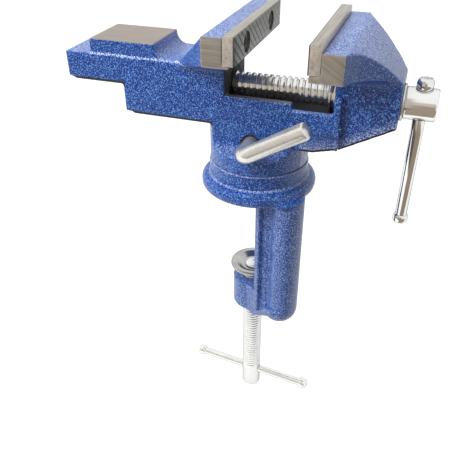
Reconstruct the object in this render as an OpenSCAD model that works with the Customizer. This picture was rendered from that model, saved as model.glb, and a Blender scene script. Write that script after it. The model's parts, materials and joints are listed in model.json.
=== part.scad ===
// Clamp-on table vise with a swivel head, an anvil and a C-clamp foot.
// Millimetres, +Z up. The origin is on the swivel axis, on the table face under the clamp flange.
// +X runs along the lead screw, from the anvil to the handle. The C-clamp is turned about Z.

/* [Jaws] */
// Width of both jaws
jaw_w = 75; // [64:1:95]
// Gap between the jaw plates as drawn
jaw_open = 31; // [22:1:36]
// Height of the jaw tops above the table face
jaw_top = 86; // [84:1:96]
// Distance of the fixed jaw face behind the swivel axis
jaw_back = 1.3; // [0:0.1:4]
// Thickness of a jaw plate
plate_t = 5.5; // [4:0.5:7]
// Height of a jaw plate
plate_h = 12.5; // [11:0.5:15]
// Length of the cast block behind a jaw plate
block_l = 9.5; // [8:0.5:13]
// Height of the ledge under the fixed jaw's plate
fixed_ledge_h = 1.3; // [0.8:0.1:2]
// Height of the ledge under the moving jaw's plate
moving_ledge_h = 3.2; // [2:0.1:4]
// Distance of the fixed jaw's ledge behind its plate's face
fixed_ledge_back = 2.5; // [1:0.5:3]
// Distance of the moving jaw's ledge behind its plate's face
moving_ledge_back = 0.5; // [0.5:0.5:3]
// Height of the fixed plate's edge over its block
fixed_drop = 0.8; // [0.4:0.1:2]
// Drop of the moving block under its plate's top edge
moving_drop = 3; // [1:0.5:5]
// Spacing of the two screws in each jaw plate
plate_screw_pitch = 40; // [30:1:46]
// Thread diameter of the plate screws
plate_screw_d = 5; // [4:0.5:6]
// Head diameter of the plate screws
plate_head_d = 8.6; // [7.5:0.1:9.5]

/* [Body] */
// Width of the body across its side walls
body_w = 32; // [31:0.5:36]
// Height of the body's top face above the table face
body_top = 66; // [64:0.5:69]
// Height of the body's underside above the table face
body_low = 38; // [36.5:0.5:39]
// Distance of the step under the tail behind the swivel axis
step_x = 66.3; // [56:0.1:76]
// Distance of the tail's end behind the swivel axis
tail_x = 98; // [94:1:110]
// Height of the tail's underside above the table face
tail_low = 53; // [50:0.5:57]
// Distance of the neck's front face behind the swivel axis
neck_x = 13.3; // [12.5:0.1:14.5]
// Length of the sloped back of the fixed jaw
jaw_slope_l = 20; // [12:0.5:24]
// Length of the anvil face
anvil_l = 34.5; // [28:0.5:40]
// Width of the anvil face
anvil_w = 30; // [24:0.5:31]
// Height of the anvil over the body's top face
anvil_h = 7; // [4:0.5:11]
// Distance of the anvil's front edge behind the swivel axis
anvil_x = 49.6; // [42:0.1:54]
// Height of the channel's side walls above the table face
wall_top = 52.5; // [50:0.5:54]
// Distance of the channel walls' end ahead of the swivel axis
wall_end = 42; // [40:0.1:42.1]
// Length of the raised lugs at the walls' end
lug_l = 3.2; // [2.5:0.1:6]
// Height of the lug tops above the table face
lug_top = 57.6; // [55:0.1:60]
// Length of the notch in each wall behind its lug
notch_l = 19.5; // [12:0.1:22]
// Depth of the notch under the wall's top
notch_h = 3.5; // [2:0.5:6]
// Width of the tray under the walls
tray_w = 29; // [28:0.5:31]
// Height of the tray's underside above the table face
tray_low = 28.4; // [27.6:0.1:28.7]
// Length of the sloped end under the tray
tray_slope_l = 12; // [10:0.5:16]
// Rise of the sloped end under the tray
tray_rise = 3; // [2:0.1:4]
// Length of the tray's open end, where the keel shows from below
tray_mouth = 10.5; // [9.5:0.5:13]
// Corner radius at the walls' end
wall_corner = 5; // [2:0.5:8]
// Thickness of the channel's floor over the body's underside
channel_floor = 3.7; // [3:0.1:4.5]

/* [Moving jaw] */
// Width of the slide under the moving jaw
slide_w = 24; // [22:0.5:26]
// Distance from the moving jaw's face to the end of its nose
nose_l = 37.7; // [36:0.1:41]
// Width of the nose's end
nose_w = 24; // [18:0.5:26]
// Height of the nose's top edge above the table face
nose_top = 65.5; // [63:0.5:68]
// Distance from the moving jaw's face to the front of the deep keel
keel_x = 12.8; // [12.7:0.1:16]
// Height of the keel's underside above the table face
keel_low = 30.5; // [30.3:0.1:33]
// Height of the nose's underside above the table face
nose_low = 44.1; // [42:0.1:46]
// Length of the guide tongue ahead of the slide
tongue_l = 28; // [20:1:30]
// Thickness of the guide tongue
tongue_t = 2.5; // [2:0.1:3]

/* [Lead screw] */
// Outside diameter of the lead screw's thread
screw_d = 12; // [10:0.5:13]
// Height of the lead screw's axis above the table face
screw_z = 53.5; // [53:0.1:55]
// Length of thread that reaches past the moving jaw's face
screw_reach = 75.7; // [70:0.1:80]
// Diameter of the lead screw's head
head_d = 15; // [14:0.5:16]
// Length of the lead screw's head
head_l = 14.5; // [14:0.5:18]
// Distance of the handle bar from the inner end of the lead screw's head
bar_in = 7.6; // [7.5:0.1:9]
// Diameter of the lead nut
nut_d = 16; // [15:0.5:16.5]
// Length of the lead nut
nut_l = 16; // [12:0.5:20]
// Thickness of the thrust washer
washer_t = 1.2; // [0.8:0.1:2]
// Diameter of the thrust washer
washer_d = 17; // [16:0.5:20]
// Thickness of the thrust collar
collar_t = 3.4; // [2.5:0.1:4]
// Diameter of the thrust collar
collar_d = 17; // [15:0.5:18]
// Diameter of the pin through the collar
pin_d = 1.6; // [1.2:0.1:1.8]

/* [Handle] */
// Diameter of the handle bar
bar_d = 6; // [5:0.5:7]
// Distance between the centres of the handle bar's knobs
bar_l = 70; // [60:1:90]
// Diameter of the handle bar's knobs
knob_d = 7.8; // [7.2:0.1:7.8]
// Depth of a knob's seat in the lead screw's head
knob_sink = 2.2; // [1.5:0.1:2.5]
// Diameter of the turned-down bar ends in the knobs
spigot_d = 4; // [3:0.5:4.5]

/* [Swivel] */
// Diameter of the swivel boss
boss_d = 51; // [48:0.5:55]
// Height of the swivel joint above the table face
seam_z = 16; // [14:0.5:18]
// Height of the round part of the boss
boss_round_h = 8.7; // [6:0.1:10]
// Radius of the fillets over the round part of the boss
boss_fillet = 5; // [2:0.5:6]
// Diameter of the swivel post
post_d = 24; // [20:0.5:26]
// Diameter of the swivel post's upper end
post_tip_d = 17; // [15:0.5:18]
// Height of the swivel post's shoulder over the joint
post_shoulder_h = 7.5; // [6:0.5:8]
// Height of the swivel post over the joint
post_h = 19.5; // [17:0.5:20]
// Height of the lock screw above the table face
lock_z = 28.8; // [28.5:0.1:31]
// Diameter of the lock lever
lock_d = 8.5; // [6:0.5:9]
// Length of the lock lever from its screw
lock_l = 37; // [30:0.5:42]
// Distance of the lock lever from the middle of the body
lock_y = 30.5; // [30.5:0.5:36]
// Rise of the lock lever
lock_rise = 31; // [20:1:40]
// Depth of the lock groove in the post
groove = 1; // [0.6:0.1:1.5]

/* [Clamp] */
// Turn of the C-clamp about the swivel axis
clamp_turn = 40; // [0:1:90]
// Diameter of the clamp flange
flange_d = 61; // [58:0.5:68]
// Thickness of the clamp flange
flange_t = 8; // [6:0.5:9]
// Diameter of the raised ring on the flange
ring_d = 52; // [50:0.5:56]
// Distance of the column's inner face from the swivel axis
column_x = 15; // [14:0.5:20]
// Width of the column's inner face
column_w = 24; // [20:0.5:28]
// Thickness of the column's inner plate
column_t = 4; // [3:0.5:6]
// Width of the column's web
web_w = 10; // [6:0.5:14]
// Diameter of the column's round back
rib_d = 20; // [16:0.5:24]
// Distance of the round back's middle from the swivel axis
rib_x = 25; // [23:0.5:30]
// Depth of the round back's lower end under the table face
rib_low = 79; // [76:1:86]
// Depth of the arm's top face under the table face
arm_top = 64; // [62:0.5:68]
// Height of the arm
arm_h = 20; // [16:0.5:24]
// Width of the arm's round end
arm_w = 24; // [20:0.5:28]
// Width of the arm between its round end and the column
arm_web_w = 19; // [16:0.5:20]
// Distance of the clamp screw from the swivel axis
clamp_x = 3; // [0:0.1:6]
// Outside diameter of the clamp screw's thread
clamp_d = 12; // [10:0.5:13]
// Depth of the clamp screw's lower end under the table face
clamp_low = 159; // [150:1:170]
// Depth of the pad's top under the table face
pad_depth = 55; // [50:0.5:56]
// Diameter of the pad
pad_d = 27; // [24:0.5:30]
// Height of the pad
pad_h = 5; // [4:0.5:6]
// Diameter of the clamp bar
clamp_bar_d = 5; // [4:0.5:6]
// Length of the clamp bar between its knobs' middles
clamp_bar_l = 74; // [60:1:90]
// Height of the clamp bar over the clamp screw's lower end
clamp_bar_up = 13; // [9:0.5:16]
// Turn of the clamp bar about the clamp screw
clamp_bar_turn = 6; // [-30:1:30]
// Diameter of the clamp bar's knobs
clamp_knob_d = 7; // [6.5:0.1:8]

/* [Fits] */
// Radial clearance of turning and threaded fits
run = 0.05; // [0.03:0.01:0.1]
// Clearance between sliding faces
gap = 0.3; // [0.2:0.05:0.4]

/* [Hidden] */
$fn = 64;

// Overrun of the cuts, so that they pass through the faces they open
cut = 1;
blue = "royalblue";
steel = "silver";
chrome = "gainsboro";
dark = "dimgray";

// Small sizes
stop_room = 2;
slide_setback = 3.2;
keel_room = 0.8;
keel_clear = 2 * gap;
tongue_room = 1.5;
tongue_side = 2.2;
nut_room = 0.5;
relief = 1;
set_d = 4;
set_key_d = 2.3;
set_key_depth = 2;
set_bite = 1;
set_inset = 0.5;
head_h = 3;
head_inset = 0.8;
head_key = 0.8;
head_key_depth = 1.8;
hole_room = 0.5;
block_wall = 1.5;
knob_step = 1;
knob_room = 0.2;
knob_skin = 1;
bar_play = 0.15;
jaw_root = 2;
wing_edge = 1;
wing_slice = 0.2;
lock_bend = 5;
lock_cone = 3.4;
lock_tip_d = 1.4;
lock_rim = 0.75;
groove_low = 1.1;
groove_high = 3;
rivet_d = 10;
rivet_h = 1.4;
pad_neck_d = 7;
pad_rim = 3;
pad_edge_h = 2;
pad_hub = 2;
clamp_spigot_d = 3;

// Places along the lead screw
fixed_face = -jaw_back;
moving_face = fixed_face + jaw_open;
fixed_back = fixed_face - plate_t;
moving_back = moving_face + plate_t;
block_back = moving_back + block_l;
nose_end = moving_face + nose_l;
keel_front = moving_face + keel_x;
slide_front = moving_back + slide_setback;
collar_x = slide_front - gap - collar_t;
pin_x = collar_x + collar_t / 2;
head_x = nose_end + washer_t;
handle_x = head_x + bar_in;
screw_tip = moving_face - screw_reach;
screw_stop = screw_tip - jaw_open - stop_room;
nut_back = -neck_x - nut_l;
set_x = -neck_x - nut_l / 2;
slot_front = keel_front - jaw_open - keel_room;
tongue_stop = slide_front - tongue_l - jaw_open - tongue_room;

// Heights
plate_low = jaw_top - plate_h;
plate_screw_z = plate_low + plate_h / 2;
fixed_block_top = jaw_top - fixed_drop;
fixed_block_low = plate_low - fixed_ledge_h;
moving_block_top = jaw_top - moving_drop;
moving_block_low = plate_low - moving_ledge_h;
channel_low = body_low + channel_floor;
channel_top = screw_z + nut_d / 2 + nut_room;
slide_low = channel_low + gap;
slot_low = keel_low - keel_clear;
notch_low = wall_top - notch_h;
boss_low = seam_z + gap;
boss_round_top = boss_low + boss_round_h;
post_shoulder = seam_z + post_shoulder_h;
post_top = seam_z + post_h;
wing_foot = nose_top - wing_edge;
knob_seat = head_d / 2 + knob_d / 2 - knob_sink;
upper_knob_z = screw_z + knob_seat;
lower_knob_z = upper_knob_z - bar_l;

// Heights of the clamp, all below the table face
pad_top = -pad_depth;
pad_low = pad_top - pad_h;
pad_floor = pad_low + pad_h / 2;
arm_low = -arm_top - arm_h;
column_low = -arm_top - arm_h / 2;
rib_bottom = rib_d / 2 - rib_low;
clamp_bar_z = clamp_bar_up - clamp_low;

// Widths and depths
channel_w = slide_w + 2 * gap;
shank_l = block_l - block_wall;
counterbore = head_inset + head_h;
screw_bore = screw_d + 2 * run;
screw_pass = screw_d + 4 * run;
pin_bore = pin_d + 2 * run;
flange_rim = flange_t / 2;

// A box given by its ends in X, its full width in Y and its ends in Z
module block(x0, x1, w, z0, z1) {
    translate([x0, -w / 2, z0]) cube([x1 - x0, w, z1 - z0]);
}

// A side view outline in X and Z, thickened to the full width w about Y
module side_plate(w) {
    translate([0, w / 2, 0]) rotate([90, 0, 0]) linear_extrude(w) children();
}

// A round bar along +X in the middle plane
module bar_along_x(x, z, d, l) {
    translate([x, 0, z]) rotate([0, 90, 0]) cylinder(d = d, h = l);
}

// A round bar along +Y
module bar_along_y(x, y, z, d, l) {
    translate([x, y, z]) rotate([-90, 0, 0]) cylinder(d = d, h = l);
}

module at_clamp() {
    rotate([0, 0, -clamp_turn]) children();
}

module at_clamp_screw() {
    at_clamp() translate([-clamp_x, 0, 0]) children();
}

module at_clamp_bar() {
    at_clamp_screw() translate([0, 0, clamp_bar_z]) rotate([0, 0, clamp_turn - clamp_bar_turn]) children();
}

// Plate screw places: x is the plate's front face, way is the direction into the casting
module at_plate_screws(x, way) {
    for (side = [-1, 1])
        translate([x, side * plate_screw_pitch / 2, plate_screw_z]) rotate([0, 90 * way, 0]) children();
}

module plate_screws(x, way) {
    at_plate_screws(x, way) difference() {
        union() {
            translate([0, 0, head_inset]) cylinder(d = plate_head_d, h = head_h);
            translate([0, 0, counterbore]) cylinder(d = plate_screw_d, h = plate_t - counterbore + shank_l);
        }
        cylinder(d = plate_screw_d * head_key, h = head_inset + head_key_depth, $fn = 6);
    }
}

module jaw_plate(x0, front, way) {
    difference() {
        block(x0, x0 + plate_t, jaw_w, plate_low, jaw_top);
        at_plate_screws(front, way) {
            translate([0, 0, -cut]) cylinder(d = plate_head_d + 2 * gap, h = cut + counterbore);
            translate([0, 0, -cut]) cylinder(d = plate_screw_d + 2 * gap, h = plate_t + 2 * cut);
        }
    }
}

module plate_screw_holes(x, way) {
    at_plate_screws(x, way) cylinder(d = plate_screw_d + 2 * run, h = plate_t + shank_l + hole_room);
}

// Flange, ring and swivel post, turned about the swivel axis
module swivel_base() {
    rim_x = flange_d / 2 - flange_rim;
    rotate_extrude() {
        polygon([[0, 0], [rim_x, 0], [rim_x, flange_t], [ring_d / 2, flange_t], [ring_d / 2, seam_z], [0, seam_z]]);
        translate([rim_x, flange_rim]) circle(flange_rim);
    }
    cylinder(d = post_d, h = post_shoulder);
    cylinder(d = post_tip_d, h = post_top);
}

// Column: an inner plate, a narrower web and a round back with a domed lower end
module column() {
    block(column_x, column_x + column_t, column_w, column_low, flange_rim);
    block(column_x, rib_x, web_w, column_low, flange_rim);
    translate([rib_x, 0, rib_bottom]) {
        cylinder(d = rib_d, h = flange_rim - rib_bottom);
        sphere(d = rib_d);
    }
}

// Arm that carries the clamp screw, tapered where it meets the column's back
module clamp_arm() {
    side_plate(arm_web_w) polygon([[-clamp_x, arm_low], [column_x - column_t, arm_low], [rib_x, column_low],
                                   [rib_x, -arm_top], [-clamp_x, -arm_top]]);
    translate([-clamp_x, 0, arm_low]) cylinder(d = arm_w, h = arm_h);
}

// Cast C-frame with the flange, the swivel post, the ribbed column and the arm
module clamp_frame() {
    color(blue) at_clamp() difference() {
        union() {
            swivel_base();
            column();
            clamp_arm();
        }
        translate([-clamp_x, 0, arm_low - cut]) cylinder(d = clamp_d + 2 * run, h = arm_h + 2 * cut);
        translate([0, 0, lock_z]) rotate_extrude() translate([post_tip_d / 2, 0])
            polygon([[-groove, -groove_low], [cut, -groove_high], [cut, groove_high], [-groove, groove_low]]);
    }
}

// Channel wall with its notch and end lug, seen from the side
module wall_outline() {
    difference() {
        union() {
            translate([-neck_x - cut, body_low]) square([neck_x + wall_end + cut, wall_top - body_low]);
            translate([wall_end - lug_l, wall_top - cut]) square([lug_l, lug_top - wall_top + cut]);
        }
        translate([wall_end - lug_l - notch_l, notch_low]) square([notch_l, lug_top]);
        translate([wall_end - wall_corner, body_low]) difference() {
            translate([0, -cut]) square([wall_corner + cut, wall_corner + cut]);
            translate([0, wall_corner]) circle(wall_corner);
        }
    }
}

// Tray under the channel walls, seen from the side
module tray_outline() {
    top = body_low + cut;
    polygon([[0, tray_low], [wall_end - tray_slope_l, tray_low], [wall_end, tray_low + tray_rise],
             [wall_end, top], [0, top]]);
}

// Fixed jaw head: the block behind the plate with its ledge, faired down to the body
module fixed_head() {
    back = fixed_back - block_l;
    inset = wing_slice;
    block(back, fixed_back, jaw_w, fixed_block_low, fixed_block_top);
    block(back, fixed_face - fixed_ledge_back, jaw_w, fixed_block_low, plate_low);
    hull() {
        block(back, fixed_back - inset, jaw_w - inset, fixed_block_low + inset, fixed_block_top - inset);
        block(back - jaw_slope_l, -neck_x, body_w, body_top - jaw_root, body_top);
    }
}

// Concave fillet between a flat side of the boss and its round foot
module boss_side_fillet(side) {
    middle_y = side * (body_w / 2 + boss_fillet);
    difference() {
        translate([0, side * body_w / 2, boss_round_top])
            cube([boss_d, 2 * boss_fillet, 2 * boss_fillet], center = true);
        translate([0, middle_y, 0]) bar_along_x(-boss_d, boss_round_top + boss_fillet, 2 * boss_fillet, 2 * boss_d);
    }
}

// Swivel boss: a round foot, then a part cut flat in line with the body's sides
module boss() {
    translate([0, 0, boss_low]) cylinder(d = boss_d, h = boss_round_h);
    intersection() {
        translate([0, 0, boss_low]) cylinder(d = boss_d, h = channel_low - boss_low);
        union() {
            block(-boss_d, boss_d, body_w, seam_z, channel_low);
            for (side = [-1, 1]) boss_side_fillet(side);
        }
    }
}

// Body casting: tail, anvil, fixed jaw, channel for the moving jaw and swivel boss
module vise_body() {
    lock_start = -boss_d / 2 - cut;
    lock_hole_l = boss_d / 2;
    color(blue) difference() {
        union() {
            block(-tail_x, -step_x, body_w, tail_low, body_top);
            block(-step_x - cut, -neck_x, body_w, body_low, body_top);
            block(-anvil_x - anvil_l, -anvil_x, anvil_w, body_top - cut, body_top + anvil_h);
            side_plate(body_w) wall_outline();
            side_plate(tray_w) tray_outline();
            fixed_head();
            boss();
        }
        block(-neck_x, wall_end + cut, channel_w, channel_low, channel_top);
        block(slot_front, wall_end + cut, channel_w, slot_low, channel_top);
        block(wall_end - tray_mouth, wall_end + cut, channel_w, tray_low - cut, channel_top);
        block(tongue_stop, -neck_x + cut, channel_w - 2 * tongue_side, channel_low, slide_low + tongue_t + gap);
        bar_along_x(nut_back, screw_z, nut_d + 2 * run, nut_l + cut);
        bar_along_x(screw_stop, screw_z, screw_d + 2 * relief, -neck_x - screw_stop);
        translate([0, 0, seam_z]) cylinder(d = post_d + 2 * run, h = post_shoulder_h + gap);
        translate([0, 0, seam_z]) cylinder(d = post_tip_d + 2 * run, h = post_h + 2 * gap);
        bar_along_y(0, lock_start, lock_z, lock_d + 2 * run, lock_hole_l);
        bar_along_y(0, lock_start, lock_z, lock_d + 2 * lock_rim, lock_hole_l - body_w / 2 + lock_rim + cut);
        plate_screw_holes(fixed_face, -1);
        bar_along_y(set_x, 0, screw_z, set_d + 2 * run, body_w);
    }
}

module fixed_jaw_plate() {
    color(steel) jaw_plate(fixed_back, fixed_face, -1);
}

module fixed_jaw_screws() {
    color(dark) plate_screws(fixed_face, -1);
}

// Nut bush in the neck, with a smooth bore over the thread's crests
module lead_nut() {
    color(dark) difference() {
        bar_along_x(nut_back, screw_z, nut_d, nut_l);
        bar_along_x(nut_back - cut, screw_z, screw_bore, nut_l + 2 * cut);
        bar_along_y(set_x, nut_d / 2 - set_bite - knob_room, screw_z, set_d + 2 * run, nut_d);
    }
}

module nut_set_screw() {
    tip_y = nut_d / 2 - set_bite;
    end_y = body_w / 2 - set_inset;
    color(dark) difference() {
        bar_along_y(set_x, tip_y, screw_z, set_d, end_y - tip_y);
        translate([set_x, end_y - set_key_depth, screw_z])
            rotate([-90, 0, 0]) cylinder(d = set_key_d, h = set_key_depth + cut, $fn = 6);
    }
}

// Cross section of the moving jaw's wings: upright flanks from low to high, then in to the slide
module wing_section(x, w, low, high) {
    half = slide_w / 2;
    translate([x, 0, 0]) rotate([90, 0, 90]) linear_extrude(wing_slice)
        polygon([[-half, wing_foot], [half, wing_foot], [w / 2, low], [w / 2, high], [-w / 2, high], [-w / 2, low]]);
}

// Wings that sweep from the jaw block to the nose
module moving_wings() {
    start = block_back - wing_slice;
    span = nose_end - block_back;
    steps = 6;
    top_fall = moving_block_top - nose_top;
    low_fall = moving_block_low - wing_foot;
    // Share of the way along the sweep, with shorter steps by the block
    function way(i) = pow(i / steps, 1.4);
    // The plan has a quick shoulder by the block, then an almost even taper
    function wide(t) = nose_w + (jaw_w - nose_w) * (0.2 * pow(1 - t, 8) + 0.8 * pow(1 - t, 1.12));
    function high(t) = moving_block_top - top_fall * pow(t, 1.5);
    function low(t) = moving_block_low - low_fall * pow(t, 2.5);
    module section(t) {
        wing_section(start + span * t, wide(t), low(t), high(t));
    }
    for (i = [0 : steps - 1]) hull() {
        section(way(i));
        section(way(i + 1));
    }
}

// Slide, keel and guide tongue of the moving jaw, seen from the side
module slide_outline() {
    polygon([[slide_front, slide_low], [keel_front, slide_low], [keel_front, keel_low], [nose_end, nose_low],
             [nose_end, wing_foot], [slide_front, wing_foot]]);
    translate([moving_back, wing_foot - tongue_t]) square([block_l, moving_block_top - wing_foot]);
}

module moving_jaw() {
    ledge_front = moving_face + moving_ledge_back;
    color(blue) difference() {
        union() {
            block(moving_back, block_back, jaw_w, moving_block_low, moving_block_top);
            block(ledge_front, block_back, jaw_w, moving_block_low, plate_low);
            moving_wings();
            side_plate(slide_w) slide_outline();
            block(slide_front - tongue_l, slide_front + cut, slide_w - 2 * tongue_side, slide_low, slide_low + tongue_t);
        }
        bar_along_x(moving_back - cut, screw_z, screw_pass, nose_l + 2 * cut);
        plate_screw_holes(moving_face, 1);
    }
}

module moving_jaw_plate() {
    color(steel) jaw_plate(moving_face, moving_face, 1);
}

module moving_jaw_screws() {
    color(dark) plate_screws(moving_face, 1);
}

module thrust_washer() {
    color(steel) difference() {
        bar_along_x(nose_end, screw_z, washer_d, washer_t);
        bar_along_x(nose_end - cut, screw_z, screw_pass, washer_t + 2 * cut);
    }
}

// Lead screw, drawn at the thread's outside diameter, with a cross hole and knob seats in its head
module lead_screw() {
    color(chrome) difference() {
        union() {
            bar_along_x(screw_tip, screw_z, screw_d, head_x - screw_tip + cut);
            bar_along_x(head_x, screw_z, head_d, head_l);
        }
        translate([handle_x, 0, screw_z - head_d]) cylinder(d = bar_d + 2 * bar_play, h = 2 * head_d);
        for (side = [-1, 1])
            translate([handle_x, 0, screw_z + side * knob_seat]) sphere(d = knob_d + 2 * gap);
        translate([pin_x, 0, screw_z - head_d]) cylinder(d = pin_bore, h = 2 * head_d);
    }
}

module thrust_collar() {
    color(chrome) difference() {
        bar_along_x(collar_x, screw_z, collar_d, collar_t);
        bar_along_x(collar_x - cut, screw_z, screw_bore, collar_t + 2 * cut);
        translate([pin_x, 0, screw_z - collar_d]) cylinder(d = pin_bore, h = 2 * collar_d);
    }
}

module collar_pin() {
    l = collar_d - 2 * set_inset;
    color(steel) translate([pin_x, 0, screw_z - l / 2]) cylinder(d = pin_d, h = l);
}

// A bar along Z with turned-down ends that fit the sockets of two knobs, l between the knobs' middles
module knob_bar(d, spigot, knob, l) {
    reach = knob / 2 - knob_skin - knob_room;
    cylinder(d = d, h = l - 2 * knob_step, center = true);
    cylinder(d = spigot, h = l + 2 * reach, center = true);
}

// A ball with a stepped socket for the end of a bar, which it meets from below
module end_knob(d, bar, spigot) {
    difference() {
        sphere(d = d);
        translate([0, 0, -d]) cylinder(d = bar + 2 * run, h = d - knob_step);
        translate([0, 0, -d]) cylinder(d = spigot + 2 * run, h = d + d / 2 - knob_skin);
    }
}

module handle_bar() {
    color(chrome) translate([handle_x, 0, upper_knob_z - bar_l / 2]) knob_bar(bar_d, spigot_d, knob_d, bar_l);
}

module handle_upper_knob() {
    color(chrome) translate([handle_x, 0, upper_knob_z]) end_knob(knob_d, bar_d, spigot_d);
}

module handle_lower_knob() {
    color(chrome) translate([handle_x, 0, lower_knob_z]) rotate([180, 0, 0]) end_knob(knob_d, bar_d, spigot_d);
}

// Bent lock lever: the screw end presses the post, the bend turns into the lever
module lock_lever() {
    tip_y = groove - gap - post_tip_d / 2;
    cone_y = tip_y - lock_cone;
    arm_start = lock_bend - lock_y;
    color(chrome) translate([0, 0, lock_z]) rotate([0, -lock_rise, 0]) {
        bar_along_y(0, arm_start, 0, lock_d, cone_y - arm_start);
        translate([0, cone_y, 0]) rotate([-90, 0, 0]) cylinder(d1 = lock_d, d2 = lock_tip_d, h = lock_cone);
        translate([lock_bend, arm_start, 0]) rotate([0, 0, 180]) rotate_extrude(angle = 90)
            translate([lock_bend, 0]) circle(d = lock_d);
        translate([lock_bend, -lock_y, 0]) rotate([0, 90, 0]) cylinder(d = lock_d, h = lock_l - lock_bend);
    }
}

// Dished pad on the clamp screw's neck
module clamp_pad() {
    hole = pad_neck_d / 2 + gap;
    hub = rivet_d / 2 + pad_hub;
    color(steel) at_clamp_screw() rotate_extrude() polygon([
        [hole, pad_low], [hub, pad_low], [pad_d / 2, pad_top - pad_edge_h], [pad_d / 2, pad_top],
        [pad_d / 2 - pad_rim, pad_top], [hub, pad_floor], [hole, pad_floor]]);
}

// Clamp screw with a riveted neck for the pad and a cross hole for the bar
module clamp_screw() {
    shoulder = pad_low - gap;
    rivet_z = pad_floor + gap;
    color(steel) difference() {
        at_clamp_screw() {
            translate([0, 0, -clamp_low]) cylinder(d = clamp_d, h = clamp_low + shoulder);
            translate([0, 0, shoulder - cut]) cylinder(d = pad_neck_d, h = rivet_z - shoulder + 2 * cut);
            translate([0, 0, rivet_z]) cylinder(d = rivet_d, h = rivet_h);
        }
        at_clamp_bar() rotate([0, 90, 0])
            cylinder(d = clamp_bar_d + 2 * bar_play, h = 3 * clamp_d, center = true);
    }
}

module clamp_bar() {
    color(chrome) at_clamp_bar() rotate([0, 90, 0])
        knob_bar(clamp_bar_d, clamp_spigot_d, clamp_knob_d, clamp_bar_l);
}

module clamp_knob(side) {
    color(chrome) at_clamp_bar() translate([side * clamp_bar_l / 2, 0, 0]) rotate([0, 90 * side, 0])
        end_knob(clamp_knob_d, clamp_bar_d, clamp_spigot_d);
}

module clamp_left_knob() {
    clamp_knob(-1);
}

module clamp_right_knob() {
    clamp_knob(1);
}

clamp_frame();
vise_body();
fixed_jaw_plate();
fixed_jaw_screws();
lead_nut();
nut_set_screw();
moving_jaw();
moving_jaw_plate();
moving_jaw_screws();
thrust_washer();
lead_screw();
thrust_collar();
collar_pin();
handle_bar();
handle_upper_knob();
handle_lower_knob();
lock_lever();
clamp_pad();
clamp_screw();
clamp_bar();
clamp_left_knob();
clamp_right_knob();
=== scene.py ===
"""Looks of the clamp-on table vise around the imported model: pieces, finishes, light and camera. Metres."""
import json
import math

import bmesh
import bpy
import numpy as np
from mathutils import Matrix, Vector


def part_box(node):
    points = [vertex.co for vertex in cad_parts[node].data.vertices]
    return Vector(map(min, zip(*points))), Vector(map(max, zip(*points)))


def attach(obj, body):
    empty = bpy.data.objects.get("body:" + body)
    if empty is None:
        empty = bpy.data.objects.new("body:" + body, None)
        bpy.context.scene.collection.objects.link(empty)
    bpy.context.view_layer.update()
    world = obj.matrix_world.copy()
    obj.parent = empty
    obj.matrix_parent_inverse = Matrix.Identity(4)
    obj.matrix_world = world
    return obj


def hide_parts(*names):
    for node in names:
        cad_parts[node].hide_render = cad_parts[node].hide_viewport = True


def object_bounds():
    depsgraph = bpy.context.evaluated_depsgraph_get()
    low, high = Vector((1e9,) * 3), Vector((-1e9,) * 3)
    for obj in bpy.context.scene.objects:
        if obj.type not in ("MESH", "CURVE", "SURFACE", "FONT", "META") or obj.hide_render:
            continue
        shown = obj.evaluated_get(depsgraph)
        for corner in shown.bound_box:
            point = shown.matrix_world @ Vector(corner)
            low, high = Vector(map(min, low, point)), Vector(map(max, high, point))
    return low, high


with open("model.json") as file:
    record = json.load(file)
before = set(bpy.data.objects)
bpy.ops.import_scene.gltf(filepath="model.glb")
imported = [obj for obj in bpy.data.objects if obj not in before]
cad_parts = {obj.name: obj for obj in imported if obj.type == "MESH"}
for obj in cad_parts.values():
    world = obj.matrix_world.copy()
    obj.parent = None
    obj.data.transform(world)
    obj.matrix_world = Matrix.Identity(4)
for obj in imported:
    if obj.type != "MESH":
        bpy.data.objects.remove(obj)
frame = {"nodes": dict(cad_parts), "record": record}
cad_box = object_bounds()
nodes = frame["nodes"]
record = frame["record"]
behaviour = record["behaviour"]
body_of = {node: body for body, names in behaviour["bodies"].items() for node in names}
joint_of = {joint["name"]: joint for joint in behaviour["joints"]}
MM = 0.001
UP = Vector((0, 0, 1))
AHEAD = Vector((1, 0, 0))


# Places taken from the frame
def middle(node):
    """Middle of a CAD node's box."""
    low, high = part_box(node)
    return (Vector(low) + Vector(high)) / 2


def span(node):
    """Lengths of a CAD node's box."""
    low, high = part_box(node)
    return Vector(high) - Vector(low)


def ends(node, axis):
    """Lowest and highest place of a CAD node along an axis."""
    low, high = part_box(node)
    return low[axis], high[axis]


# Mesh tools
CREASE = math.radians(35)
CORNER_SHARE = 0.48
FINE = 48
SPARE_TURNS = 2
# Share of the pitch at which the thread has its root or its crest
ROOT_SHARES = (0.0, 0.10)
CREST_SHARES = (0.34, 0.76)


def smooth(mesh, crease):
    """The mesh, smooth but for edges sharper than crease."""
    mesh.polygons.foreach_set("use_smooth", [True] * len(mesh.polygons))
    mesh.set_sharp_from_angle(angle=crease)
    return mesh


def mesh_of(bm, name):
    """A smooth mesh from a bmesh."""
    bmesh.ops.recalc_face_normals(bm, faces=bm.faces)
    mesh = bpy.data.meshes.new(name)
    bm.to_mesh(mesh)
    bm.free()
    return smooth(mesh, CREASE)


def placed(bm, name, place, way):
    """The mesh of a form made along Z, turned to the direction way and moved to place."""
    turn = UP.rotation_difference(Vector(way)).to_matrix().to_4x4()
    bm.transform(Matrix.Translation(place) @ turn)
    return mesh_of(bm, name)


def skin(bm, pairs, segments):
    """Faces between pairs of rings, where a ring may be a single point."""
    for a, b in pairs:
        for i in range(segments):
            j = (i + 1) % segments
            corners = (a[i % len(a)], a[j % len(a)], b[j % len(b)], b[i % len(b)])
            bm.faces.new(list(dict.fromkeys(corners)))


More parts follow.
